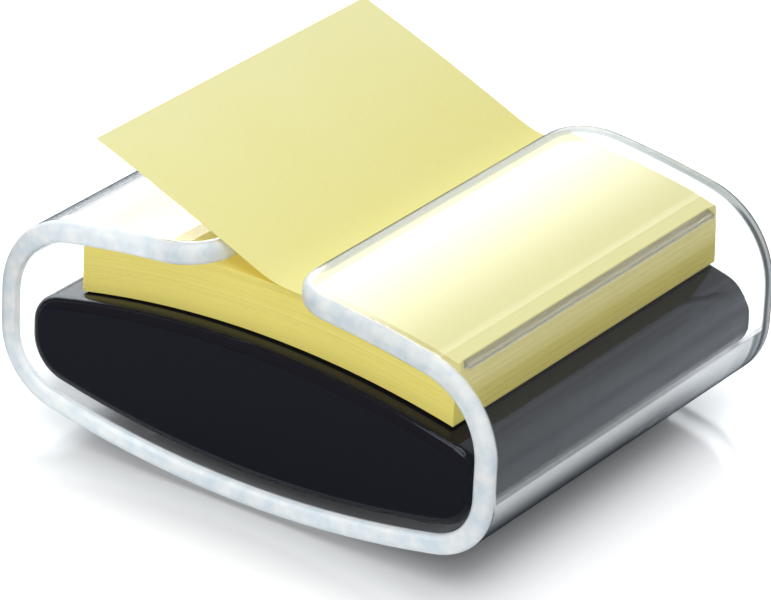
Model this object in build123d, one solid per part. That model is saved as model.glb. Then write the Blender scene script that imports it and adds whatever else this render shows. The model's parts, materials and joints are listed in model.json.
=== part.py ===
from build123d import *
import math
import os

# Sticky note dispenser: a clear wrap round a weighted base, with a pad of notes bent over its crown.
# X runs across the slot, Y from the front mouth to the back mouth, and Z is up.
# The origin lies on the surface that the feet stand on, under the middle of the wrap.

# Notes: everything else is sized round the pad
note_size = 76.2
pad_thickness = 10.0
pad_gap = 0.4
pad_offset = 0.5  # where the pad lies between the ribs, less than the clearance there
note_thickness = 0.3
note_gap = 0.25
note_lead = 0.5  # how far the popped note stands out in front of the pad
fold_offset = 2.4  # from the middle of the slot to the fold of the popped note
fold_gap = 0.6
lean_gap = 0.4  # between the popped note and the lip that it leans on
leaf_bow = 0.2

# Clear wrap
side_room = 8.6  # from the pad to each side wall
front_room = 6.5  # from the pad to the front mouth
back_room = 3.3  # from the pad to the back mouth
lip_gap = 1.0  # from the pad to the underside of the lips
wrap_wall = 3.7
wrap_lift = 0.5  # air between the table and the wrap's lowest point
floor_rise = 6.9  # from the middle of the floor to its sides
dome_rise = 6.9
wrap_lower_corner = 13.4
wrap_upper_corner = 16.5
wrap_outer_edge = 1.8
wrap_inner_edge = 0.8
slot_width = 15.6
slot_corner = 9.0  # rounding of the lips' corners in plan

# Ribs under the lips, beside the top edges of the pad
rib_width = 1.1
rib_clearance = 1.0
rib_reach = 0.4  # how far a rib comes down past the pad's top edge
rib_setback = 6.6

# Base housing
base_height = 24.5
base_recess = 2.4  # from the mouths of the wrap
base_side_gap = 1.2
base_lower_corner = 8.0
base_upper_corner = 5.6
base_edge = 2.2
crown_rise = 5.95  # from the sides of the base to its crown
housing_wall = 2.2
rim_width = 2.4  # ledge left round the opening under the base
rim_end_width = 9.5

# Base cover, its screw towers and the rails that carry the ballast
cover_gap = 0.2
tower_radius = 4.5
tower_height = 6.8  # above the lowest point of the base
rail_width = 4.0
rail_inset = 8.0  # from the ballast's sides
rail_height = 4.6  # above the lowest point of the base

# Ballast
ballast_side_gap = 1.5  # to the screw towers
ballast_end_gap = 9.5  # to the ends of the base
ballast_headroom = 7.6  # to the top of the crown
ballast_gap = 0.2
ballast_names = ["ballast_lower", "ballast_upper"]

# Cover screws and the bosses that take them
screw_radius = 1.5
screw_length = 9.0  # under the head
screw_head_radius = 2.6
screw_head_height = 1.7
screw_slot_width = 0.7
screw_slot_depth = 0.8
screw_hole_clearance = 0.2
screw_head_clearance = 0.4
thread_clearance = 0.1
screw_seat_depth = 2.0  # tower left above the head
screw_inset_x = 17.1  # from the sides of the base
screw_inset_y = 11.5  # from the ends of the base
boss_radius = 4.0

# Fixing tapes
tape_thickness = 0.5
tape_width = 14.0
tape_end_gap = 8.5  # to the ends of the base
tape_spacing = 34.0

# Feet
foot_radius = 5.5
foot_edge = 0.8
foot_inset_x = 21.4  # from the sides of the wrap
foot_inset_y = 17.0  # from the mouths of the wrap

# One overrun serves every cut, and one tolerance every search for edges
overrun = 5.0
touch = 0.01

# The most that a rounded corner may take of the straight side between the two
lower_corner_share = 0.62
upper_corner_share = 0.65


def sagitta(radius, half_chord):
    return radius - math.sqrt(radius**2 - half_chord**2)


def arc_radius(half_chord, rise):
    return (half_chord**2 + rise**2) / (2 * rise)


wrap_width = note_size + 2 * (side_room + wrap_wall)
wrap_depth = front_room + note_size + back_room
wrap_height = 2 * wrap_wall + tape_thickness + base_height + pad_gap + pad_thickness + lip_gap
wrap_top = wrap_lift + wrap_height
wrap_middle = wrap_lift + wrap_height / 2
wrap_side = wrap_height - floor_rise - dome_rise
floor_radius = arc_radius(wrap_width / 2, floor_rise)
dome_radius = arc_radius(wrap_width / 2, dome_rise)

base_bottom = wrap_lift + wrap_wall + tape_thickness
base_half = wrap_width / 2 - wrap_wall - base_side_gap
base_depth = wrap_depth - 2 * base_recess
base_floor_radius = floor_radius - wrap_wall - tape_thickness
base_side = base_height - crown_rise - sagitta(base_floor_radius, base_half)
crown_radius = arc_radius(base_half, crown_rise)
crown_top = base_bottom + base_height
tower_top = base_bottom + tower_height

screw_span_x = 2 * (base_half - screw_inset_x)
screw_span_y = base_depth - 2 * screw_inset_y
screw_seat = tower_top - screw_seat_depth
foot_span_x = wrap_width - 2 * foot_inset_x
foot_span_y = wrap_depth - 2 * foot_inset_y
tape_length = base_depth - 2 * tape_end_gap

ballast_width = screw_span_x - 2 * (tower_radius + ballast_side_gap)
ballast_depth = base_depth - 2 * ballast_end_gap
ballast_seat = base_bottom + rail_height
ballast_plate = (base_height - rail_height - ballast_headroom) / len(ballast_names)

pad_radius = crown_radius + pad_gap
pad_bottom = crown_top + pad_gap
pad_top = pad_bottom + pad_thickness
pad_half = pad_radius * math.sin(note_size / (2 * pad_radius))
pad_middle = (front_room - back_room) / 2
note_middle = pad_middle - note_lead
root_left = fold_offset - pad_offset + fold_gap


def spots(span_x, span_y):
    return [(x * span_x / 2, y * span_y / 2) for x in (-1, 1) for y in (-1, 1)]


def lens_section(half_width, bottom, bottom_radius, top, top_radius, lower_corner, upper_corner):
    # A flat-sided lens in X and Z, with its four corners rounded
    side_bottom = bottom + sagitta(bottom_radius, half_width)
    side_top = top - sagitta(top_radius, half_width)
    outline = Curve() + [
        ThreePointArc((-half_width, side_bottom), (0, bottom), (half_width, side_bottom)),
        Line((half_width, side_bottom), (half_width, side_top)),
        ThreePointArc((half_width, side_top), (0, top), (-half_width, side_top)),
        Line((-half_width, side_top), (-half_width, side_bottom)),
    ]
    section = make_face(outline)
    section = fillet(section.vertices().group_by(Axis.Y)[0], lower_corner)
    return fillet(section.vertices().group_by(Axis.Y)[-1], upper_corner)


def prism(section, depth):
    return extrude(Plane.XZ * section, depth / 2, both=True)


def block(x_range, y_range, z_range):
    size = [high - low for low, high in (x_range, y_range, z_range)]
    middle = [(high + low) / 2 for low, high in (x_range, y_range, z_range)]
    return Pos(*middle) * Box(*size)


def post(place, radius, bottom, top):
    return Pos(*place, bottom) * Cylinder(radius, top - bottom, align=(Align.CENTER, Align.CENTER, Align.MIN))


def wrap_block(inset, depth):
    section = lens_section(
        wrap_width / 2 - inset,
        wrap_lift + inset,
        floor_radius - inset,
        wrap_top - inset,
        dome_radius - inset,
        min(wrap_lower_corner, lower_corner_share * wrap_side) - inset,
        min(wrap_upper_corner, upper_corner_share * wrap_side) - inset,
    )
    return prism(section, depth)


def base_block(inset, depth):
    section = lens_section(
        base_half - inset,
        base_bottom + inset,
        base_floor_radius - inset,
        crown_top - inset,
        crown_radius - inset,
        min(base_lower_corner, lower_corner_share * base_side) - inset,
        min(base_upper_corner, upper_corner_share * base_side) - inset,
    )
    return prism(section, depth)


def rim_edges(shape, skin):
    # The edges of a wrap that end one of its skins, at the mouths and along the slot
    faces = skin.faces().filter_by(Axis.Y, reverse=True)
    seams = shape.edges().filter_by(Axis.Y).filter_by(lambda e: abs((e @ 0.5).X) > slot_width)
    edges = [e for e in shape.edges() if e not in seams]
    return ShapeList(e for e in edges if min(f.distance_to(e @ 0.5) for f in faces) < touch)


def make_wrap():
    outside = wrap_block(0, wrap_depth)
    inside = wrap_block(wrap_wall, wrap_depth + overrun)
    lips = Rectangle(wrap_width, wrap_depth) - Rectangle(slot_width, wrap_depth)
    lips = fillet(lips.vertices().filter_by(lambda v: abs(v.X) < slot_width), slot_corner)
    slot = Rectangle(slot_width + 2 * slot_corner, wrap_depth + overrun) - lips
    wrap = outside - inside - Pos(0, 0, wrap_middle) * extrude(slot, wrap_height)
    wrap = fillet(rim_edges(wrap, outside), wrap_outer_edge)
    wrap = fillet(rim_edges(wrap, inside), wrap_inner_edge)
    rib_inner = pad_half + rib_clearance
    rib_bottom = pad_top - sagitta(pad_radius, pad_half) - rib_reach
    rib_end = wrap_depth / 2 - rib_setback
    heart = wrap_block(wrap_wall / 2, wrap_depth)
    for side in (-1, 1):
        reach = sorted([side * rib_inner, side * (rib_inner + rib_width)])
        wrap += block(reach, (-rib_end, rib_end), (rib_bottom, wrap_top)) & heart
    return wrap


def make_base():
    # The housing and its cover are cut from one hollow block
    whole = base_block(0, base_depth)
    whole = fillet(whole.faces().filter_by(Axis.Y).edges(), base_edge)
    cavity = base_block(housing_wall, base_depth - 2 * housing_wall)
    heart = base_block(housing_wall / 2, base_depth - housing_wall)
    walls = whole - cavity
    opening_half = base_half - rim_end_width
    opening_end = base_depth / 2 - housing_wall - rim_width
    opening = block((-opening_half, opening_half), (-opening_end, opening_end), (0, wrap_middle / 2))
    cover_half = opening_half - cover_gap
    cover_end = opening_end - cover_gap
    cover = walls & block((-cover_half, cover_half), (-cover_end, cover_end), (0, wrap_middle / 2))
    housing = walls - opening

    rail_middle = ballast_width / 2 - rail_inset
    ballast_top = ballast_seat + len(ballast_names) * ballast_plate
    for side in (-1, 1):
        rail_x = (side * rail_middle - rail_width / 2, side * rail_middle + rail_width / 2)
        rail_y = (-ballast_depth / 2, ballast_depth / 2)
        cover += block(rail_x, rail_y, (0, ballast_seat)) & heart
        housing += block(rail_x, rail_y, (ballast_top + ballast_gap, wrap_top)) & heart
    thread_end = screw_seat + screw_length + thread_clearance
    for place in spots(screw_span_x, screw_span_y):
        cover += post(place, tower_radius, 0, tower_top) & heart
        cover -= post(place, screw_head_radius + screw_head_clearance, 0, screw_seat)
        cover -= post(place, screw_radius + screw_hole_clearance, 0, tower_top + overrun)
        housing += post(place, boss_radius, tower_top, wrap_top) & heart
        housing -= post(place, screw_radius + thread_clearance, 0, thread_end)
    return housing, cover


def make_ballast():
    plates = []
    for level in range(len(ballast_names)):
        bottom = ballast_seat + level * ballast_plate
        plates.append(
            block(
                (-ballast_width / 2, ballast_width / 2),
                (-ballast_depth / 2, ballast_depth / 2),
                (bottom, bottom + ballast_plate),
            )
        )
    return plates


def make_screw(place):
    x, y = place
    head_bottom = screw_seat - screw_head_height
    screw = post(place, screw_radius, screw_seat, screw_seat + screw_length)
    screw += post(place, screw_head_radius, head_bottom, screw_seat)
    screw -= block(
        (x - screw_head_radius, x + screw_head_radius),
        (y - screw_slot_width / 2, y + screw_slot_width / 2),
        (head_bottom - overrun, head_bottom + screw_slot_depth),
    )
    return screw


def make_tape(side):
    inner = tape_spacing / 2 - tape_width / 2
    reach = sorted([side * inner, side * (inner + tape_width)])
    strip = block(reach, (-tape_length / 2, tape_length / 2), (0, wrap_middle / 2))
    return (strip & wrap_block(wrap_wall, wrap_depth)) - base_block(0, base_depth)


def make_foot(place):
    # The top of a foot follows the outside of the wrap's floor
    foot = post(place, foot_radius, 0, wrap_middle / 2)
    foot = fillet(foot.edges().group_by(Axis.Z)[0], foot_edge)
    return foot - wrap_block(0, wrap_depth)


def bent_sheet(left, right, middle, bottom, thickness):
    # A stack of paper that follows the crown between two places across the pad
    def arc(level):
        points = [(x, level - sagitta(pad_radius, x)) for x in (left, (left + right) / 2, right)]
        return ThreePointArc(*points)

    lower = arc(bottom)
    upper = arc(bottom + thickness)
    outline = Curve() + [lower, Line(lower @ 1, upper @ 1), upper, Line(lower @ 0, upper @ 0)]
    return Pos(pad_offset, middle, 0) * prism(make_face(outline), note_size)


def lean_angle(fold_z):
    # How steeply the leaf leans, in degrees, when it passes just over the round edge of the left lip
    half = note_thickness / 2
    edge_x = slot_width / 2 + wrap_outer_edge
    edge_z = wrap_top - sagitta(dome_radius, edge_x) - wrap_outer_edge
    across = fold_offset + edge_x
    rise = edge_z - fold_z
    clear = wrap_outer_edge + lean_gap + leaf_bow + half
    return math.degrees(math.atan2(rise, across) + math.asin(clear / math.hypot(across, rise)))


def make_leaf():
    # The half of the popped note that stands out of the slot
    half = note_thickness / 2
    fold_x = fold_offset - pad_offset
    fold_z = pad_top + note_gap + half - sagitta(pad_radius, fold_x)
    leaf_angle = lean_angle(fold_z)
    root_length = pad_radius * (math.asin(pad_half / pad_radius) - math.asin(fold_x / pad_radius))
    leaf_length = note_size - root_length

    def arc(level):
        start, middle, end = (-fold_gap, level), (-leaf_length / 2, level - leaf_bow), (-leaf_length, level)
        return ThreePointArc(start, middle, end)

    lower = arc(-half)
    upper = arc(half)
    outline = Curve() + [lower, Line(lower @ 1, upper @ 1), upper, Line(lower @ 0, upper @ 0)]
    leaf = prism(make_face(outline), note_size)
    print("fold at x", fold_offset, "z", round(fold_z, 3))
    print("leaf", round(leaf_length, 2), "leans", round(leaf_angle, 2))
    return Pos(fold_offset, note_middle, fold_z) * Rot(0, leaf_angle, 0) * leaf


housing, cover = make_base()
nodes = {
    "clear_wrap": make_wrap(),
    "base_housing": housing,
    "base_cover": cover,
    "cover_screws": Compound(children=[make_screw(place) for place in spots(screw_span_x, screw_span_y)]),
    "tape_left": make_tape(-1),
    "tape_right": make_tape(1),
    "note_pad": bent_sheet(-pad_half, pad_half, pad_middle, pad_bottom, pad_thickness),
    "popped_note_root": bent_sheet(root_left, pad_half, note_middle, pad_top + note_gap, note_thickness),
    "popped_note_leaf": make_leaf(),
}
nodes.update(zip(ballast_names, make_ballast()))
foot_names = ["foot_front_left", "foot_back_left", "foot_front_right", "foot_back_right"]
for name, place in zip(foot_names, spots(foot_span_x, foot_span_y)):
    nodes[name] = make_foot(place)

os.makedirs("parts", exist_ok=True)
for name, shape in nodes.items():
    export_step(shape, f"parts/{name}.step")
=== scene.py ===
import json
import math

import bpy
import numpy as np
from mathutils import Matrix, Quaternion, Vector


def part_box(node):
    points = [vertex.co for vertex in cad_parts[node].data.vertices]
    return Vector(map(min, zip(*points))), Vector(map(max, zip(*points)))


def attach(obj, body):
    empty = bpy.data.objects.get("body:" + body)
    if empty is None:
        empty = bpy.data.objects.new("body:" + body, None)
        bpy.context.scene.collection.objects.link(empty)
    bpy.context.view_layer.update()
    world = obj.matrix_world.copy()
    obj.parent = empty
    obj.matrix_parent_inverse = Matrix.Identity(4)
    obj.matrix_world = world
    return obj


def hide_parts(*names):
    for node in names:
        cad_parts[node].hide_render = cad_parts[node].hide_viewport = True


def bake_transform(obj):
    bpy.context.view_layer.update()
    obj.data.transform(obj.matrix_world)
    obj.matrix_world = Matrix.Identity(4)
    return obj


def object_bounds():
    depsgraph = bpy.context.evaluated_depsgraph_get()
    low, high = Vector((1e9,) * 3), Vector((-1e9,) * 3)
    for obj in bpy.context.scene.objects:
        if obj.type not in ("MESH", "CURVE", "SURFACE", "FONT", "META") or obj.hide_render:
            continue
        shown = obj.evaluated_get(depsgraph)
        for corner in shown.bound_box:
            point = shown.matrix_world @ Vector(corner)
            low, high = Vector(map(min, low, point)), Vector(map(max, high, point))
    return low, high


# Sticky note dispenser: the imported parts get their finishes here, and the paper is built sheet by sheet
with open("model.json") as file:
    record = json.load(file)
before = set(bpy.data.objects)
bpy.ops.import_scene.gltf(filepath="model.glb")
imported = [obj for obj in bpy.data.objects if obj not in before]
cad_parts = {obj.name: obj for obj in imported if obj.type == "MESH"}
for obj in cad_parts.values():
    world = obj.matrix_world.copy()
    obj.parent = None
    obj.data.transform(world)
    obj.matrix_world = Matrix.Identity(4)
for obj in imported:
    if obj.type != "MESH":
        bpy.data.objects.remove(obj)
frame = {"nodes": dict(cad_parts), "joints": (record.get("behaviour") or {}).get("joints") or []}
cadLow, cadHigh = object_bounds()
mm = 0.001
print("frame loaded:", len(frame["nodes"]), "nodes")


# Small helpers for node trees

def addNode(tree, kind, inputs=None, **settings):
    node = tree.nodes.new(kind)
    for name, value in settings.items():
        setattr(node, name, value)
    for name, value in (inputs or {}).items():
        if isinstance(value, bpy.types.NodeSocket):
            tree.links.new(value, node.inputs[name])
        else:
            node.inputs[name].default_value = value
    return node


def addMath(tree, operation, *values):
    return addNode(tree, "ShaderNodeMath", dict(enumerate(values)), operation=operation).outputs[0]


def addVectorMath(tree, operation, *values):
    node = addNode(tree, "ShaderNodeVectorMath", dict(enumerate(values)), operation=operation)
    return node.outputs["Value" if operation in ("LENGTH", "DOT_PRODUCT") else "Vector"]


def addVector(tree, **parts):
    return addNode(tree, "ShaderNodeCombineXYZ", parts).outputs[0]


def addPlace(tree):
    # The place on a piece, in the piece's own coordinates
    where = addNode(tree, "ShaderNodeTexCoord")
    return addNode(tree, "ShaderNodeSeparateXYZ", {"Vector": where.outputs["Object"]}).outputs


def addRamp(tree, value, start, full, low=0.0, high=1.0, kind="LINEAR"):
    # Goes from low to high while the value goes from start to full
    return addNode(tree, "ShaderNodeMapRange", {
        "Value": value, "From Min": start, "From Max": full,
        "To Min": low, "To Max": high}, interpolation_type=kind).outputs["Result"]


def addColorMix(tree, factor, first, second):
    node = addNode(tree, "ShaderNodeMix", {"Factor": factor, 6: first, 7: second}, data_type="RGBA")
    return node.outputs[2]


def addShaderMix(tree, factor, first, second):
    return addNode(tree, "ShaderNodeMixShader", {0: factor, 1: first, 2: second}).outputs[0]


def newMaterial(name):
    material = bpy.data.materials.new(name)
    material.use_nodes = True
    material.node_tree.nodes.clear()
    return material, material.node_tree


def finishMaterial(tree, shader):
    addNode(tree, "ShaderNodeOutputMaterial", {"Surface": shader})


# Grain that several finishes share: noise on the piece's own coordinates, as it is and between two limits

grain = {
    "noiseLow": 0.3,  # the noise mostly lies between these two
    "noiseHigh": 0.7,
}


def newGroup(name, inputs, outputs):
    group = bpy.data.node_groups.new(name, "ShaderNodeTree")
    for label, kind, value in inputs:
        socket = group.interface.new_socket(name=label, in_out="INPUT", socket_type=kind)
        socket.default_value = value
    for label, kind in outputs:
        group.interface.new_socket(name=label, in_out="OUTPUT", socket_type=kind)
    return group, group.nodes.new("NodeGroupInput").outputs, group.nodes.new("NodeGroupOutput").inputs


def makeGrainGroup():
    group, given, result = newGroup(
        "fineGrain",
        [("Scale", "NodeSocketFloat", 400.0), ("Detail", "NodeSocketFloat", 3.0),
         ("Low", "NodeSocketFloat", 0.0), ("High", "NodeSocketFloat", 1.0),
         ("Stretch", "NodeSocketVector", (1.0, 1.0, 1.0))],
        [("Height", "NodeSocketFloat"), ("Value", "NodeSocketFloat")],
    )
    where = addNode(group, "ShaderNodeTexCoord")
    scaled = addVectorMath(group, "MULTIPLY", where.outputs["Object"], given["Stretch"])
    noise = addNode(group, "ShaderNodeTexNoise", {
        "Vector": scaled, "Scale": given["Scale"], "Detail": given["Detail"]}).outputs["Fac"]
    spread = addRamp(group, noise, grain["noiseLow"], grain["noiseHigh"], given["Low"], given["High"])
    group.links.new(noise, result["Height"])
    group.links.new(spread, result["Value"])
    return group


grainGroup = makeGrainGroup()


def addGrain(tree, scale, low, high, detail=3.0, stretch=(1.0, 1.0, 1.0)):
    return addNode(tree, "ShaderNodeGroup", {
        "Scale": scale, "Detail": detail, "Low": low, "High": high, "Stretch": stretch}, node_tree=grainGroup)


def addBump(tree, height, strength, distance):
    return addNode(tree, "ShaderNodeBump", {
        "Height": height, "Strength": strength, "Distance": distance}).outputs["Normal"]


# Clear acrylic of the wrap: polished on its faces, a little frosted and cloudy on the cut edges

acrylic = {
    "tint": (0.985, 0.993, 1.0, 1.0),
    "ior": 1.49,
    "roughness": 0.012,
    "contourShade": (0.2, 0.22, 0.23, 1.0),  # painted shade: darker where a face turns away from view
    "contourStart": 0.7,
    "contourFull": 0.97,
    "edgeShadeTint": (0.2, 0.23, 0.21, 1.0),  # the clear edges: the greenish tint of light crossing the acrylic the long way, and painted shade that darkens them to dark lines
    "edgeStart": 1.9 * mm,
    "edgeFull": 1.3 * mm,
    "lineColor": (0.03, 0.033, 0.04, 1.0),  # the dark line along the edges that turn away from the light
    "lineDark": 0.85,
    "lineElse": 0.4,  # share of it on the other edges
    "lineStart": 0.8,
    "lineEdgeStart": 1.5 * mm,
    "lineEdgeFull": 1.0 * mm,
    "lineSideStart": 0.3,  # how far a face is turned to the right before it has the line
    "lineSideFull": 0.6,
    "rimCool": (0.635, 0.727, 0.782, 1.0),
    "rimWarm": (0.9, 0.895, 0.875, 1.0),
    "rimRough": 0.4,
    "rimFrost": 0.84,  # how far the cut edge is frosted, 0 to 1
    "rimPaintedGlow": 0.34,  # painted glow, standing in for light that runs along inside the wall and leaves it at the frosted edge
    "rimDark": (0.0, 0.0, 0.0, 1.0),  # where none leaves it
    "rimLowStart": 20.0 * mm,  # most of it low down
    "rimLowFull": 5.0 * mm,
    "rimLip": 0.8,  # and this share of it at the lip on the bank's side
    "rimLipStart": -15.0 * mm,
    "rimLipFull": -20.0 * mm,
    "rimLipLow": 30.0 * mm,
    "rimLipHigh": 42.0 * mm,
    "rimStart": 1.9 * mm,
    "rimFull": 1.2 * mm,
    "rimNarrow": 1.4 * mm,  # the frosted band is narrower by this, away from the front mouth
    "rimNarrowStart": 0.86 * cadLow.y,
    "rimNarrowFull": 0.7 * cadLow.y,
    "rippleScale": 330.0,
    "rippleDetail": 2.0,
    "ribTint": (0.58, 0.58, 0.53, 1.0),  # what the ribs leave of the light that crosses them
    "ribClear": 0.55,  # how much crosses them straight on
    "ribRough": 0.12,
    "ribPlace": 39.35 * mm,
    "ribHalf": 0.75 * mm,
    "ribTop": 37.5 * mm,
    "ribReach": 36.6 * mm,  # half its length
    "slotHalf": 7.8 * mm,
    "slotCorner": 9.0 * mm,
    "lipLevel": 30.0 * mm,  # only the lips above this height have ribs, and an edge along the slot
    "shadeHigh": 0.94,  # light that one face lets through
    "shadeLow": 0.86,  # the same near the floor
    "shadeSlant": 0.76,  # and how much less of slanting light near the floor
    "shadeStart": 0.1 * cadHigh.z,
    "shadeFull": 0.36 * cadHigh.z,
}


def addEdgeDistance(tree):
    # How far a point of the wrap lies from the cut edge: the two mouths, and the slot between the lips;
    # the same, for the frosted band; and 1 where the edge is clear
    place = addPlace(tree)
    corner = acrylic["slotCorner"]
    aside = addMath(tree, "ABSOLUTE", place["X"])
    aside = addMath(tree, "SUBTRACT", acrylic["slotHalf"] + corner, aside)
    onLip = addMath(tree, "GREATER_THAN", place["Z"], acrylic["lipLevel"])
    aside = addMath(tree, "MULTIPLY", addMath(tree, "MAXIMUM", aside, 0.0), onLip)
    along = addMath(tree, "SUBTRACT", addMath(tree, "ABSOLUTE", place["Y"]), cadHigh.y - corner)
    along = addMath(tree, "MAXIMUM", along, 0.0)
    far = addVectorMath(tree, "LENGTH", addVector(tree, X=aside, Y=along))
    inward = addMath(tree, "SUBTRACT", corner, far)
    narrow = addRamp(tree, place["Y"], acrylic["rimNarrowStart"], acrylic["rimNarrowFull"],
                     0.0, acrylic["rimNarrow"])
    clear = addMath(tree, "DIVIDE", narrow, acrylic["rimNarrow"])
    return inward, addMath(tree, "ADD", inward, narrow), clear


def addRibMask(tree):
    # 1 on the ribs under the lips, 0 elsewhere
    place = addPlace(tree)
    aside = addMath(tree, "SUBTRACT", addMath(tree, "ABSOLUTE", place["X"]), acrylic["ribPlace"])
    mask = addMath(tree, "LESS_THAN", addMath(tree, "ABSOLUTE", aside), acrylic["ribHalf"])
    short = addMath(tree, "LESS_THAN", addMath(tree, "ABSOLUTE", place["Y"]), acrylic["ribReach"])
    low = addMath(tree, "LESS_THAN", place["Z"], acrylic["ribTop"])
    high = addMath(tree, "GREATER_THAN", place["Z"], acrylic["lipLevel"])
    for part in (short, low, high):
        mask = addMath(tree, "MULTIPLY", mask, part)
    return mask


def addPaintedRimGlow(tree):
    # How much painted glow leaves the frosted edge, 0 to 1
    place = addPlace(tree)
    low = addRamp(tree, place["Z"], acrylic["rimLowStart"], acrylic["rimLowFull"])
    left = addRamp(tree, place["X"], acrylic["rimLipStart"], acrylic["rimLipFull"], 0.0, acrylic["rimLip"])
    high = addRamp(tree, place["Z"], acrylic["rimLipLow"], acrylic["rimLipHigh"], kind="SMOOTHSTEP")
    return addMath(tree, "MAXIMUM", low, addMath(tree, "MULTIPLY", left, high))


def addSideMask(tree):
    # 1 on the outside of the wall that faces away from the bank of light, less elsewhere
    where = addNode(tree, "ShaderNodeTexCoord")
    facing = addNode(tree, "ShaderNodeSeparateXYZ", {"Vector": where.outputs["Normal"]}).outputs
    turned = addRamp(tree, facing["X"], acrylic["lineSideStart"], acrylic["lineSideFull"])
    side = addMath(tree, "MULTIPLY", turned, addMath(tree, "GREATER_THAN", addPlace(tree)["X"], 0.0))
    return addMath(tree, "MAXIMUM", side, acrylic["lineElse"])


def addClearShadow(tree, body):
    # Clear pieces let lamps and bounced light through, but less of it low down, where light is bent aside
    slant = addNode(tree, "ShaderNodeLayerWeight").outputs["Facing"]
    low = addMath(tree, "MULTIPLY_ADD", slant, -acrylic["shadeSlant"], acrylic["shadeLow"])
    level = addRamp(tree, addPlace(tree)["Z"], acrylic["shadeStart"], acrylic["shadeFull"],
                    low, acrylic["shadeHigh"], "SMOOTHSTEP")
    shade = addNode(tree, "ShaderNodeBsdfTransparent", {"Color": level})
    path = addNode(tree, "ShaderNodeLightPath").outputs
    soft = addMath(tree, "MAXIMUM", path["Is Shadow Ray"], path["Is Diffuse Ray"])
    return addShaderMix(tree, soft, body, shade.outputs[0])


def makeAcrylic():
    material, tree = newMaterial("clearAcrylic")
    inward, edge, clear = addEdgeDistance(tree)
    rib = addRibMask(tree)
    slant = addNode(tree, "ShaderNodeLayerWeight").outputs["Facing"]

    # Clear body, with painted shade: darker at its clear edges and contours
    shadedEdge = addMath(tree, "MULTIPLY", addRamp(tree, inward, acrylic["edgeStart"], acrylic["edgeFull"]), clear)
    color = addColorMix(tree, shadedEdge, acrylic["tint"], acrylic["edgeShadeTint"])
    turned = addRamp(tree, slant, acrylic["contourStart"], acrylic["contourFull"])
    color = addColorMix(tree, turned, color, acrylic["contourShade"])
    haze = addMath(tree, "MULTIPLY_ADD", rib, acrylic["ribRough"], acrylic["roughness"])
    body = addNode(tree, "ShaderNodeBsdfPrincipled", {
        "Base Color": color, "Roughness": haze, "IOR": acrylic["ior"], "Transmission Weight": 1.0}).outputs[0]

    # Ribs, which show what lies behind them
    through = addNode(tree, "ShaderNodeBsdfTransparent", {"Color": acrylic["ribTint"]})
    body = addShaderMix(tree, addMath(tree, "MULTIPLY", rib, acrylic["ribClear"]), body, through.outputs[0])

    # Dark line on the side away from the light
    sharp = addRamp(tree, slant, acrylic["lineStart"], acrylic["contourFull"])
    brink = addRamp(tree, inward, acrylic["lineEdgeStart"], acrylic["lineEdgeFull"])
    brink = addMath(tree, "MULTIPLY", brink, clear)
    line = addMath(tree, "MULTIPLY", addSideMask(tree), addMath(tree, "MAXIMUM", sharp, brink))
    dark = addNode(tree, "ShaderNodeBsdfDiffuse", {"Color": acrylic["lineColor"]})
    body = addShaderMix(tree, addMath(tree, "MULTIPLY", line, acrylic["lineDark"]), body, dark.outputs[0])

    # Frosted cut edge, with a painted glow
    rim = addRamp(tree, edge, acrylic["rimStart"], acrylic["rimFull"], 0.0, acrylic["rimFrost"], "SMOOTHSTEP")
    cloud = addGrain(tree, acrylic["rippleScale"], 0.0, 1.0, acrylic["rippleDetail"])
    frost = addNode(tree, "ShaderNodeBsdfPrincipled", {
        "Base Color": addColorMix(tree, cloud.outputs["Value"], acrylic["rimCool"], acrylic["rimWarm"]),
        "Roughness": acrylic["rimRough"], "IOR": acrylic["ior"],
        "Emission Color": addColorMix(tree, addPaintedRimGlow(tree), acrylic["rimDark"], acrylic["rimCool"]),
        "Emission Strength": acrylic["rimPaintedGlow"]})
    body = addShaderMix(tree, rim, body, frost.outputs[0])
    finishMaterial(tree, addClearShadow(tree, body))
    return material


# Clear soft feet

bumper = {
    "color": (0.96, 0.97, 0.98, 1.0),
    "ior": 1.45,
    "grain": 700.0,
    "rough": (0.1, 0.2),
}


def makeBumper():
    material, tree = newMaterial("clearBumper")
    haze = addGrain(tree, bumper["grain"], *bumper["rough"])
    body = addNode(tree, "ShaderNodeBsdfPrincipled", {
        "Base Color": bumper["color"], "Roughness": haze.outputs["Value"], "IOR": bumper["ior"],
        "Transmission Weight": 1.0})
    finishMaterial(tree, addClearShadow(tree, body.outputs[0]))
    return material


# Plastic, steel and foam, each with a fine grain in its roughness and its relief

plain = {
    "metallic": 0.0,
    "specular": 0.5,
    "shine": (1.0, 1.0, 1.0, 1.0),
    "detail": 3.0,
    "stretch": (1.0, 1.0, 1.0),
}
glossBlack = dict(
    plain, color=(0.008, 0.0074, 0.0105, 1.0), specular=0.3, shine=(0.8, 0.89, 1.0, 1.0),
    grain=900.0, rough=(0.07, 0.13), bump=0.03, depth=0.02 * mm)
mattBlack = dict(
    plain, color=(0.02, 0.02, 0.022, 1.0),
    grain=2600.0, rough=(0.45, 0.65), bump=0.4, depth=0.03 * mm)
foamTape = dict(
    plain, color=(0.03, 0.03, 0.032, 1.0),
    grain=3200.0, rough=(0.75, 0.95), bump=0.8, depth=0.06 * mm)
steel = dict(plain, metallic=1.0, grain=1500.0, detail=4.0, bump=0.15, depth=0.01 * mm)
zincSteel = dict(steel, color=(0.62, 0.63, 0.65, 1.0), rough=(0.25, 0.4), stretch=(1.0, 1.0, 0.1))
ballastSteel = dict(steel, color=(0.33, 0.33, 0.34, 1.0), rough=(0.4, 0.6), stretch=(0.08, 1.0, 1.0))


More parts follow.
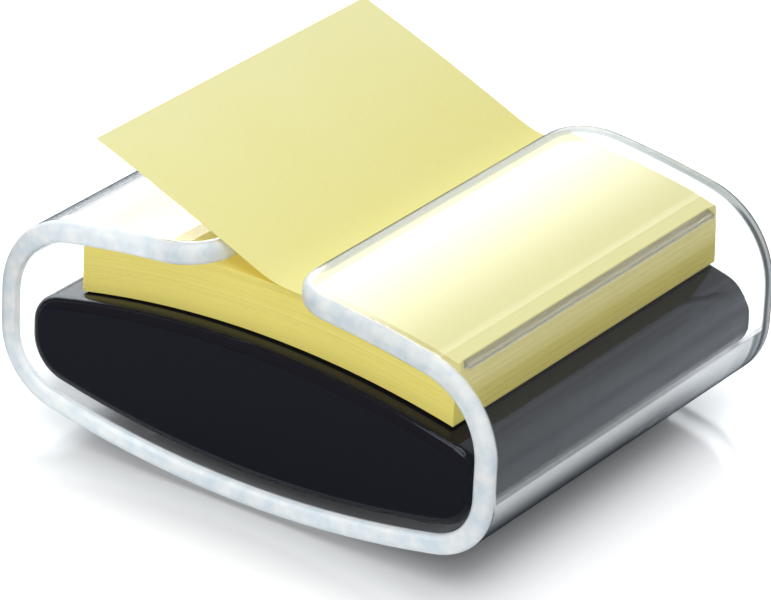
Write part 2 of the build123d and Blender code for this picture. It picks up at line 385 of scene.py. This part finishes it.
def makeSolid(name, finish):
    material, tree = newMaterial(name)
    fine = addGrain(tree, finish["grain"], *finish["rough"], finish["detail"], finish["stretch"])
    body = addNode(tree, "ShaderNodeBsdfPrincipled", {
        "Base Color": finish["color"], "Metallic": finish["metallic"], "Roughness": fine.outputs["Value"],
        "Specular IOR Level": finish["specular"], "Specular Tint": finish["shine"],
        "Normal": addBump(tree, fine.outputs["Height"], finish["bump"], finish["depth"])})
    finishMaterial(tree, body.outputs[0])
    return material


# Paper of the pad and of the popped note

paper = {
    "noteColor": (0.80, 0.765, 0.38, 1.0),  # painted light: paler at the free edge
    "noteShadedFold": (0.77, 0.715, 0.25, 1.0),  # painted shade: darker and deeper yellow at the fold
    # the pad's paper is a deeper yellow than the note's: painted bounce light between the sheets' edges, and
    # painted sheen of the overhead light on the note
    "padColor": (0.86, 0.76, 0.22, 1.0),
    "padDeep": (0.83, 0.725, 0.19, 1.0),
    "roughness": 0.72,
    "specular": 0.35,
    "fibreScale": 2400.0,
    "fibreDetail": 4.0,
    "fibreStretch": (1.0, 0.4, 1.0),
    "fibreTone": 0.15,
    "fibreBump": 0.12,
    "fibreDepth": 0.03 * mm,
    "cloudScale": 60.0,
    "cloudTone": 0.1,
    "passed": (0.55, 0.47, 0.05, 1.0),  # light that each face of a single sheet lets through
}


def makePaper(name, color, deepToneAndShade, toneAndShadeName, single):
    # The tone comes from the mesh: painted light and shade along the note, and random tone from sheet to
    # sheet of the pad; a single sheet lets some of the lamps' light through
    material, tree = newMaterial(name)
    fibre = addGrain(tree, paper["fibreScale"], -paper["fibreTone"], paper["fibreTone"],
                     paper["fibreDetail"], paper["fibreStretch"])
    cloud = addGrain(tree, paper["cloudScale"], -paper["cloudTone"], paper["cloudTone"])
    sheet = addNode(tree, "ShaderNodeAttribute", attribute_name=toneAndShadeName)
    tone = addMath(tree, "ADD", fibre.outputs["Value"], cloud.outputs["Value"])
    tone = addMath(tree, "ADD", tone, sheet.outputs["Fac"])
    body = addNode(tree, "ShaderNodeBsdfPrincipled", {
        "Base Color": addColorMix(tree, tone, color, deepToneAndShade),
        "Roughness": paper["roughness"], "Specular IOR Level": paper["specular"],
        "Normal": addBump(tree, fibre.outputs["Height"], paper["fibreBump"], paper["fibreDepth"])}).outputs[0]
    if single:
        passed = addNode(tree, "ShaderNodeBsdfTransparent", {"Color": paper["passed"]})
        path = addNode(tree, "ShaderNodeLightPath").outputs
        body = addShaderMix(tree, path["Is Shadow Ray"], body, passed.outputs[0])
    finishMaterial(tree, body)
    return material


def dressNodes(material, *names):
    for name in names:
        slots = frame["nodes"][name].data.materials
        slots.clear()
        slots.append(material)


dressNodes(makeAcrylic(), "clear_wrap")
dressNodes(makeSolid("glossBlack", glossBlack), "base_housing")
dressNodes(makeSolid("mattBlack", mattBlack), "base_cover")
dressNodes(makeSolid("zincSteel", zincSteel), "cover_screws")
dressNodes(makeSolid("ballastSteel", ballastSteel), "ballast_lower", "ballast_upper")
dressNodes(makeSolid("foamTape", foamTape), "tape_left", "tape_right")
dressNodes(makeBumper(), "foot_front_left", "foot_back_left", "foot_front_right", "foot_back_right")
print("finishes on the moulded parts done")


# Note pad: every sheet of the stack, bent over the crown of the base

padLow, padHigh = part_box("note_pad")
notePad = {
    "sheets": 100,
    "thickness": 10.0 * mm,
    "size": padHigh.y - padLow.y,
    "jitter": 0.05 * mm,
    "sheetFill": 0.98,  # share of the pitch that is paper
    "bendSteps": 49,
    "seed": 7,
}
padMiddle = (padLow + padHigh) / 2
padHalf = (padHigh.x - padLow.x) / 2
padRise = padHigh.z - notePad["thickness"] - padLow.z
crownRadius = (padHalf**2 + padRise**2) / (2 * padRise)
stackInputs = {
    "Sheets": "NodeSocketInt",
    "Size": "NodeSocketFloat",
    "Pitch": "NodeSocketFloat",
    "Sheet": "NodeSocketFloat",
    "Radius": "NodeSocketFloat",
    "Jitter": "NodeSocketFloat",
    "Bend Steps": "NodeSocketInt",
    "Seed": "NodeSocketInt",
    "Start": "NodeSocketVector",
}


def makeStackTree(material):
    tree = bpy.data.node_groups.new("sheetStack", "GeometryNodeTree")
    for label, kind in stackInputs.items():
        tree.interface.new_socket(name=label, in_out="INPUT", socket_type=kind)
    tree.interface.new_socket(name="Geometry", in_out="OUTPUT", socket_type="NodeSocketGeometry")
    given = tree.nodes.new("NodeGroupInput").outputs
    result = tree.nodes.new("NodeGroupOutput")

    # One sheet, bent to the crown
    size = addVector(tree, X=given["Size"], Y=given["Size"], Z=given["Sheet"])
    slab = addNode(tree, "GeometryNodeMeshCube", {"Size": size, "Vertices X": given["Bend Steps"]})
    spot = addNode(tree, "GeometryNodeInputPosition")
    axes = addNode(tree, "ShaderNodeSeparateXYZ", {0: spot.outputs[0]}).outputs
    turn = addMath(tree, "DIVIDE", axes["X"], given["Radius"])
    across = addMath(tree, "MULTIPLY", addMath(tree, "SINE", turn), given["Radius"])
    fall = addMath(tree, "SUBTRACT", 1.0, addMath(tree, "COSINE", turn))
    fall = addMath(tree, "MULTIPLY", fall, given["Radius"])
    bent = addVector(tree, X=across, Y=axes["Y"], Z=addMath(tree, "SUBTRACT", axes["Z"], fall))
    sheet = addNode(tree, "GeometryNodeSetPosition", {"Geometry": slab.outputs["Mesh"], "Position": bent})

    # The stack, with each sheet a little out of line
    step = addVector(tree, Z=given["Pitch"])
    levels = addNode(tree, "GeometryNodeMeshLine", {
        "Count": given["Sheets"], "Start Location": given["Start"], "Offset": step})
    low = addMath(tree, "MULTIPLY", given["Jitter"], -1.0)
    slip = addNode(tree, "FunctionNodeRandomValue", {
        0: addVector(tree, X=low, Y=low), 1: addVector(tree, X=given["Jitter"], Y=given["Jitter"]),
        "Seed": given["Seed"]}, data_type="FLOAT_VECTOR")
    loose = addNode(tree, "GeometryNodeSetPosition", {
        "Geometry": levels.outputs["Mesh"], "Offset": slip.outputs[0]})
    stack = addNode(tree, "GeometryNodeInstanceOnPoints", {
        "Points": loose.outputs[0], "Instance": sheet.outputs[0]})
    tone = addNode(tree, "FunctionNodeRandomValue", {"Seed": given["Seed"]}, data_type="FLOAT")
    marked = addNode(tree, "GeometryNodeStoreNamedAttribute", {
        "Geometry": stack.outputs[0], "Name": "sheetTone", "Value": tone.outputs[1]},
        domain="INSTANCE", data_type="FLOAT")
    real = addNode(tree, "GeometryNodeRealizeInstances", {"Geometry": marked.outputs[0]})
    done = addNode(tree, "GeometryNodeSetMaterial", {"Geometry": real.outputs[0], "Material": material})
    tree.links.new(done.outputs[0], result.inputs[0])
    return tree


def bakeTree(name, tree, values):
    # Runs a node tree on an empty object and keeps its result as a plain mesh
    maker = bpy.data.objects.new(name + "Maker", bpy.data.meshes.new(name + "Maker"))
    bpy.context.scene.collection.objects.link(maker)
    modifier = maker.modifiers.new("tree", "NODES")
    modifier.node_group = tree
    for item in tree.interface.items_tree:
        if item.in_out == "INPUT":
            modifier[item.identifier] = values[item.name]
    graph = bpy.context.evaluated_depsgraph_get()
    mesh = bpy.data.meshes.new_from_object(maker.evaluated_get(graph), depsgraph=graph)
    bpy.data.objects.remove(maker)
    piece = bpy.data.objects.new(name, mesh)
    bpy.context.scene.collection.objects.link(piece)
    return piece


padMaterial = makePaper("padPaper", paper["padColor"], paper["padDeep"], "sheetTone", False)
pitch = notePad["thickness"] / notePad["sheets"]
padPiece = bakeTree("notePad", makeStackTree(padMaterial), {
    "Sheets": notePad["sheets"],
    "Size": notePad["size"],
    "Pitch": pitch,
    "Sheet": pitch * notePad["sheetFill"],
    "Radius": crownRadius,
    "Jitter": notePad["jitter"],
    "Bend Steps": notePad["bendSteps"],
    "Seed": notePad["seed"],
    "Start": (padMiddle.x, padMiddle.y, padHigh.z - notePad["thickness"] + pitch / 2),
})
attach(padPiece, "pad")
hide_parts("note_pad")
print("note pad done:", len(padPiece.data.polygons), "faces")


# Popped note: one sheet, lying on the pad up to the fold and leaning out over the left lip

rootLow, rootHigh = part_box("popped_note_root")
leafLow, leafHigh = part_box("popped_note_leaf")
foldJoint = next(j for j in frame["joints"] if j["name"] == "leaf_fold")
foldPoint = Vector(foldJoint["pos_m"])
poppedNote = {
    "size": rootHigh.y - rootLow.y,
    "thickness": 0.1 * mm,
    "bendLength": 10.0 * mm,
    "lift": 0.2 * mm,  # the wide bend passes a little above the sharp fold of the solids
    "start": math.radians(1.0),  # how much more steeply the leaf rises than the solid at the fold
    "droop": math.radians(4.0),  # how much less steeply at its free edge than at the fold
    "lengthSteps": 120,
    "widthSteps": 12,
    "sharpAngle": math.radians(40.0),
}


def notePath():
    # Place and heading of the sheet, from the edge on the pad to the free edge, and its painted shade, 1 up
    # to the fold and 0 at the free edge
    steps = poppedNote["lengthSteps"]
    run = np.linspace(0.0, poppedNote["size"], steps + 1)
    edgeTurn = math.asin((rootHigh.x - padMiddle.x) / crownRadius)
    rootRun = crownRadius * (edgeTurn - math.asin((foldPoint.x - padMiddle.x) / crownRadius))
    lean = math.atan2(leafHigh.z - foldPoint.z, foldPoint.x - leafLow.x)
    along = (run - rootRun) / (poppedNote["size"] - rootRun)
    share = np.clip((run - rootRun) / poppedNote["bendLength"] + 0.5, 0.0, 1.0)
    share = share * share * (3.0 - 2.0 * share)
    onPad = edgeTurn - run / crownRadius
    leaning = lean + poppedNote["start"] - poppedNote["droop"] * along
    heading = (1.0 - share) * onPad + share * leaning
    middle = (heading[1:] + heading[:-1]) / 2
    stride = poppedNote["size"] / steps
    x = rootHigh.x - np.concatenate([[0.0], np.cumsum(np.cos(middle) * stride)])
    rise = np.concatenate([[0.0], np.cumsum(np.sin(middle) * stride)])
    foldIndex = int(np.argmin(np.abs(run - rootRun)))
    z = foldPoint.z + poppedNote["lift"] + rise - rise[foldIndex]
    return x, z, heading, 1.0 - np.clip(along, 0.0, 1.0)


def makeNote(material):
    x, z, heading, tone = notePath()
    columns = np.linspace(rootLow.y, rootHigh.y, poppedNote["widthSteps"] + 1)
    half = poppedNote["thickness"] / 2
    rows, width = len(x), len(columns)
    verts = []
    for side in (1, -1):
        for i in range(rows):
            lift = (math.sin(heading[i]) * half * side, math.cos(heading[i]) * half * side)
            verts += [(x[i] + lift[0], y, z[i] + lift[1]) for y in columns]
    faces = []
    lower = rows * width
    for i in range(rows - 1):
        for j in range(width - 1):
            a, b = i * width + j, (i + 1) * width + j
            faces.append((a, a + 1, b + 1, b))
            faces.append((lower + a, lower + b, lower + b + 1, lower + a + 1))
    rim = list(range(width))
    rim += [i * width + width - 1 for i in range(1, rows)]
    rim += [(rows - 1) * width + j for j in range(width - 2, -1, -1)]
    rim += [i * width for i in range(rows - 2, 0, -1)]
    for a, b in zip(rim, rim[1:] + rim[:1]):
        faces.append((b, a, lower + a, lower + b))
    mesh = bpy.data.meshes.new("poppedNote")
    mesh.from_pydata(verts, [], faces)
    mesh.polygons.foreach_set("use_smooth", [True] * len(faces))
    mesh.set_sharp_from_angle(angle=poppedNote["sharpAngle"])
    foldShades = mesh.attributes.new("noteFoldShade", "FLOAT", "POINT")
    foldShades.data.foreach_set("value", np.tile(np.repeat(tone, width), 2))
    mesh.materials.append(material)
    piece = bpy.data.objects.new("poppedNote", mesh)
    bpy.context.scene.collection.objects.link(piece)
    return piece


notePiece = makeNote(makePaper("notePaper", paper["noteColor"], paper["noteShadedFold"], "noteFoldShade", True))
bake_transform(notePiece)
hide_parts("popped_note_root", "popped_note_leaf")
print("popped note done")


# Stage: a pale polished floor with a painted glow, which brightens it to white away from the dispenser and
# leaves a painted shadow under it

stage = {
    "floorRadius": 0.9,
    "floorSides": 96,
    "floorColor": (0.76, 0.775, 0.785, 1.0),
    "floorRoughness": 0.14,
    "floorSpecular": 0.35,
    "glow": 0.6,
    "glowLow": 0.03,  # what is left of it under the dispenser
    "paintedShadowBox": (38.0 * mm, 38.5 * mm, 0.0),  # painted shadow: the box under the dispenser where the glow fades out, half its length and depth
    "glowFull": 33.0 * mm,
    "bentDim": 0.1,  # how far the same painted darkening holds for what is seen through clear pieces
    "paintedMirrorColor": (0.19, 0.225, 0.27, 1.0),  # painted reflection: the floor as polished pieces mirror it
    "paintedMirrorFar": (0.03, 0.033, 0.038, 1.0),
    "mirrorNear": 0.14,
    "mirrorEnd": 0.4,
}


def makeFloorMaterial():
    material, tree = newMaterial("paleFloor")
    place = addNode(tree, "ShaderNodeTexCoord").outputs["Object"]
    path = addNode(tree, "ShaderNodeLightPath").outputs
    body = addNode(tree, "ShaderNodeBsdfPrincipled", {
        "Base Color": stage["floorColor"], "Roughness": stage["floorRoughness"],
        "Specular IOR Level": stage["floorSpecular"]})

    # Painted glow that the camera sees, straight or through clear pieces, fading into a painted shadow under
    # the dispenser
    beyond = addVectorMath(tree, "SUBTRACT", addVectorMath(tree, "ABSOLUTE", place), stage["paintedShadowBox"])
    gap = addVectorMath(tree, "LENGTH", addVectorMath(tree, "MAXIMUM", beyond))
    ramp = addRamp(tree, gap, 0.0, stage["glowFull"], stage["glowLow"], stage["glow"], "SMOOTHSTEP")
    seen = addMath(tree, "MAXIMUM", path["Is Camera Ray"], path["Is Transmission Ray"])
    seen = addMath(tree, "MULTIPLY", seen, addMath(tree, "LESS_THAN", path["Glossy Depth"], 0.5))
    glow = addNode(tree, "ShaderNodeEmission", {"Strength": addMath(tree, "MULTIPLY", seen, ramp)})
    both = addNode(tree, "ShaderNodeAddShader", {0: body.outputs[0], 1: glow.outputs[0]})

    # Painted reflection: a darker floor in the mirror of polished pieces
    away = addVectorMath(tree, "LENGTH", place)
    fade = addRamp(tree, away, stage["mirrorNear"], stage["mirrorEnd"])
    dim = addNode(tree, "ShaderNodeBsdfDiffuse", {
        "Color": addColorMix(tree, fade, stage["paintedMirrorColor"], stage["paintedMirrorFar"])})
    bent = addMath(tree, "MULTIPLY", path["Is Transmission Ray"], 1.0 - stage["bentDim"])
    glossy = addMath(tree, "MULTIPLY", path["Is Glossy Ray"], addMath(tree, "SUBTRACT", 1.0, bent))
    finishMaterial(tree, addShaderMix(tree, glossy, both.outputs[0], dim.outputs[0]))
    return material


def makeFloor():
    mesh = bpy.data.meshes.new("floor")
    sides, radius = stage["floorSides"], stage["floorRadius"]
    turns = [math.tau * i / sides for i in range(sides)]
    ring = [(radius * math.cos(t), radius * math.sin(t), 0.0) for t in turns]
    mesh.from_pydata(ring, [], [tuple(range(sides))])
    mesh.materials.append(makeFloorMaterial())
    floor = bpy.data.objects.new("floor", mesh)
    bpy.context.scene.collection.objects.link(floor)


makeFloor()


# Light: a dim room, one soft bank behind on the left, a large soft lamp overhead and a fill in front

light = {
    "room": 0.2,
    "roomColor": (0.94, 0.97, 1.0, 1.0),
    "bankDirection": Vector((-0.74, 0.62, 0.26)).normalized(),
    "bankInner": math.cos(math.radians(16.0)),
    "bankOuter": math.cos(math.radians(37.0)),
    "bankLow": 2.4,  # near the horizon
    "bankHigh": 5.8,  # higher up
    "bankClimb": (0.25, 0.5),  # heights between which it brightens
    "bankFoot": 0.06,  # height at which it is all there, above the horizon
    "rearDirection": Vector((0.1, 0.72, 0.68)).normalized(),  # a second, weak bank behind
    "rearInner": math.cos(math.radians(8.0)),
    "rearOuter": math.cos(math.radians(28.0)),
    "rear": 1.2,
    "lampPlace": Vector((0.22, -0.3, 1.0)),
    "lampSize": 0.9,
    "lampPower": 7.2,
    "fillPlace": Vector((0.35, -0.95, 0.22)),
    "fillSize": 0.6,
    "fillPower": 4.5,
}


def makeWorld():
    world = bpy.data.worlds.new("studio")
    bpy.context.scene.world = world
    world.use_nodes = True
    tree = world.node_tree
    tree.nodes.clear()
    where = addNode(tree, "ShaderNodeTexCoord").outputs["Generated"]
    height = addNode(tree, "ShaderNodeSeparateXYZ", {"Vector": where}).outputs["Z"]
    toward = addVectorMath(tree, "DOT_PRODUCT", where, light["bankDirection"])
    bank = addRamp(tree, toward, light["bankOuter"], light["bankInner"], kind="SMOOTHSTEP")
    climb = addRamp(tree, height, *light["bankClimb"], light["bankLow"], light["bankHigh"])
    lit = addMath(tree, "MULTIPLY", climb, addRamp(tree, height, 0.0, light["bankFoot"]))
    behind = addVectorMath(tree, "DOT_PRODUCT", where, light["rearDirection"])
    rear = addRamp(tree, behind, light["rearOuter"], light["rearInner"],
                   light["room"], light["rear"], "SMOOTHSTEP")
    glow = addMath(tree, "MULTIPLY_ADD", bank, lit, rear)
    room = addNode(tree, "ShaderNodeBackground", {"Color": light["roomColor"], "Strength": glow})
    white = addNode(tree, "ShaderNodeBackground", {"Color": (1.0, 1.0, 1.0, 1.0), "Strength": 1.0})
    path = addNode(tree, "ShaderNodeLightPath").outputs
    sky = addShaderMix(tree, path["Is Camera Ray"], room.outputs[0], white.outputs[0])
    addNode(tree, "ShaderNodeOutputWorld", {"Surface": sky})


def makeLamp(name, place, size, power, mirrored):
    data = bpy.data.lights.new(name, "AREA")
    data.shape = "DISK"
    data.size = size
    data.energy = power
    lamp = bpy.data.objects.new(name, data)
    lamp.location = place
    lamp.rotation_mode = "QUATERNION"
    lamp.rotation_quaternion = (-place).to_track_quat("-Z", "Y")
    lamp.visible_camera = False
    lamp.visible_glossy = mirrored
    lamp.visible_transmission = mirrored
    bpy.context.scene.collection.objects.link(lamp)


makeWorld()
makeLamp("overhead", light["lampPlace"], light["lampSize"], light["lampPower"], True)
makeLamp("frontFill", light["fillPlace"], light["fillSize"], light["fillPower"], False)


# Camera at the photograph's place

camera = {
    "lens": 265.4,
    "sensor": 36.0,
    "azimuth": math.radians(34.21),
    "elevation": math.radians(26.75),
    "roll": math.radians(2.66),
    "distance": 0.9304,
    "aim": Vector((15.98, -24.62, 36.6)) * mm,
    "bounces": 32,  # light's way through the clear wall is long
    "clearBounces": 16,
}


def makeCamera():
    turn, flat = camera["azimuth"], math.cos(camera["elevation"])
    back = Vector((math.sin(turn) * flat, -math.cos(turn) * flat, math.sin(camera["elevation"])))
    data = bpy.data.cameras.new("camera")
    data.lens = camera["lens"]
    data.sensor_width = camera["sensor"]
    eye = bpy.data.objects.new("camera", data)
    eye.location = camera["aim"] + back * camera["distance"]
    eye.rotation_mode = "QUATERNION"
    eye.rotation_quaternion = (-back).to_track_quat("-Z", "Y") @ Quaternion((0.0, 0.0, 1.0), camera["roll"])
    bpy.context.scene.collection.objects.link(eye)
    bpy.context.scene.camera = eye


makeCamera()

scene = bpy.context.scene
scene.view_settings.view_transform = "Standard"
scene.cycles.max_bounces = camera["bounces"]
scene.cycles.glossy_bounces = camera["bounces"]
scene.cycles.transmission_bounces = camera["bounces"]
scene.cycles.transparent_max_bounces = camera["clearBounces"]
print("stage, light and camera done")
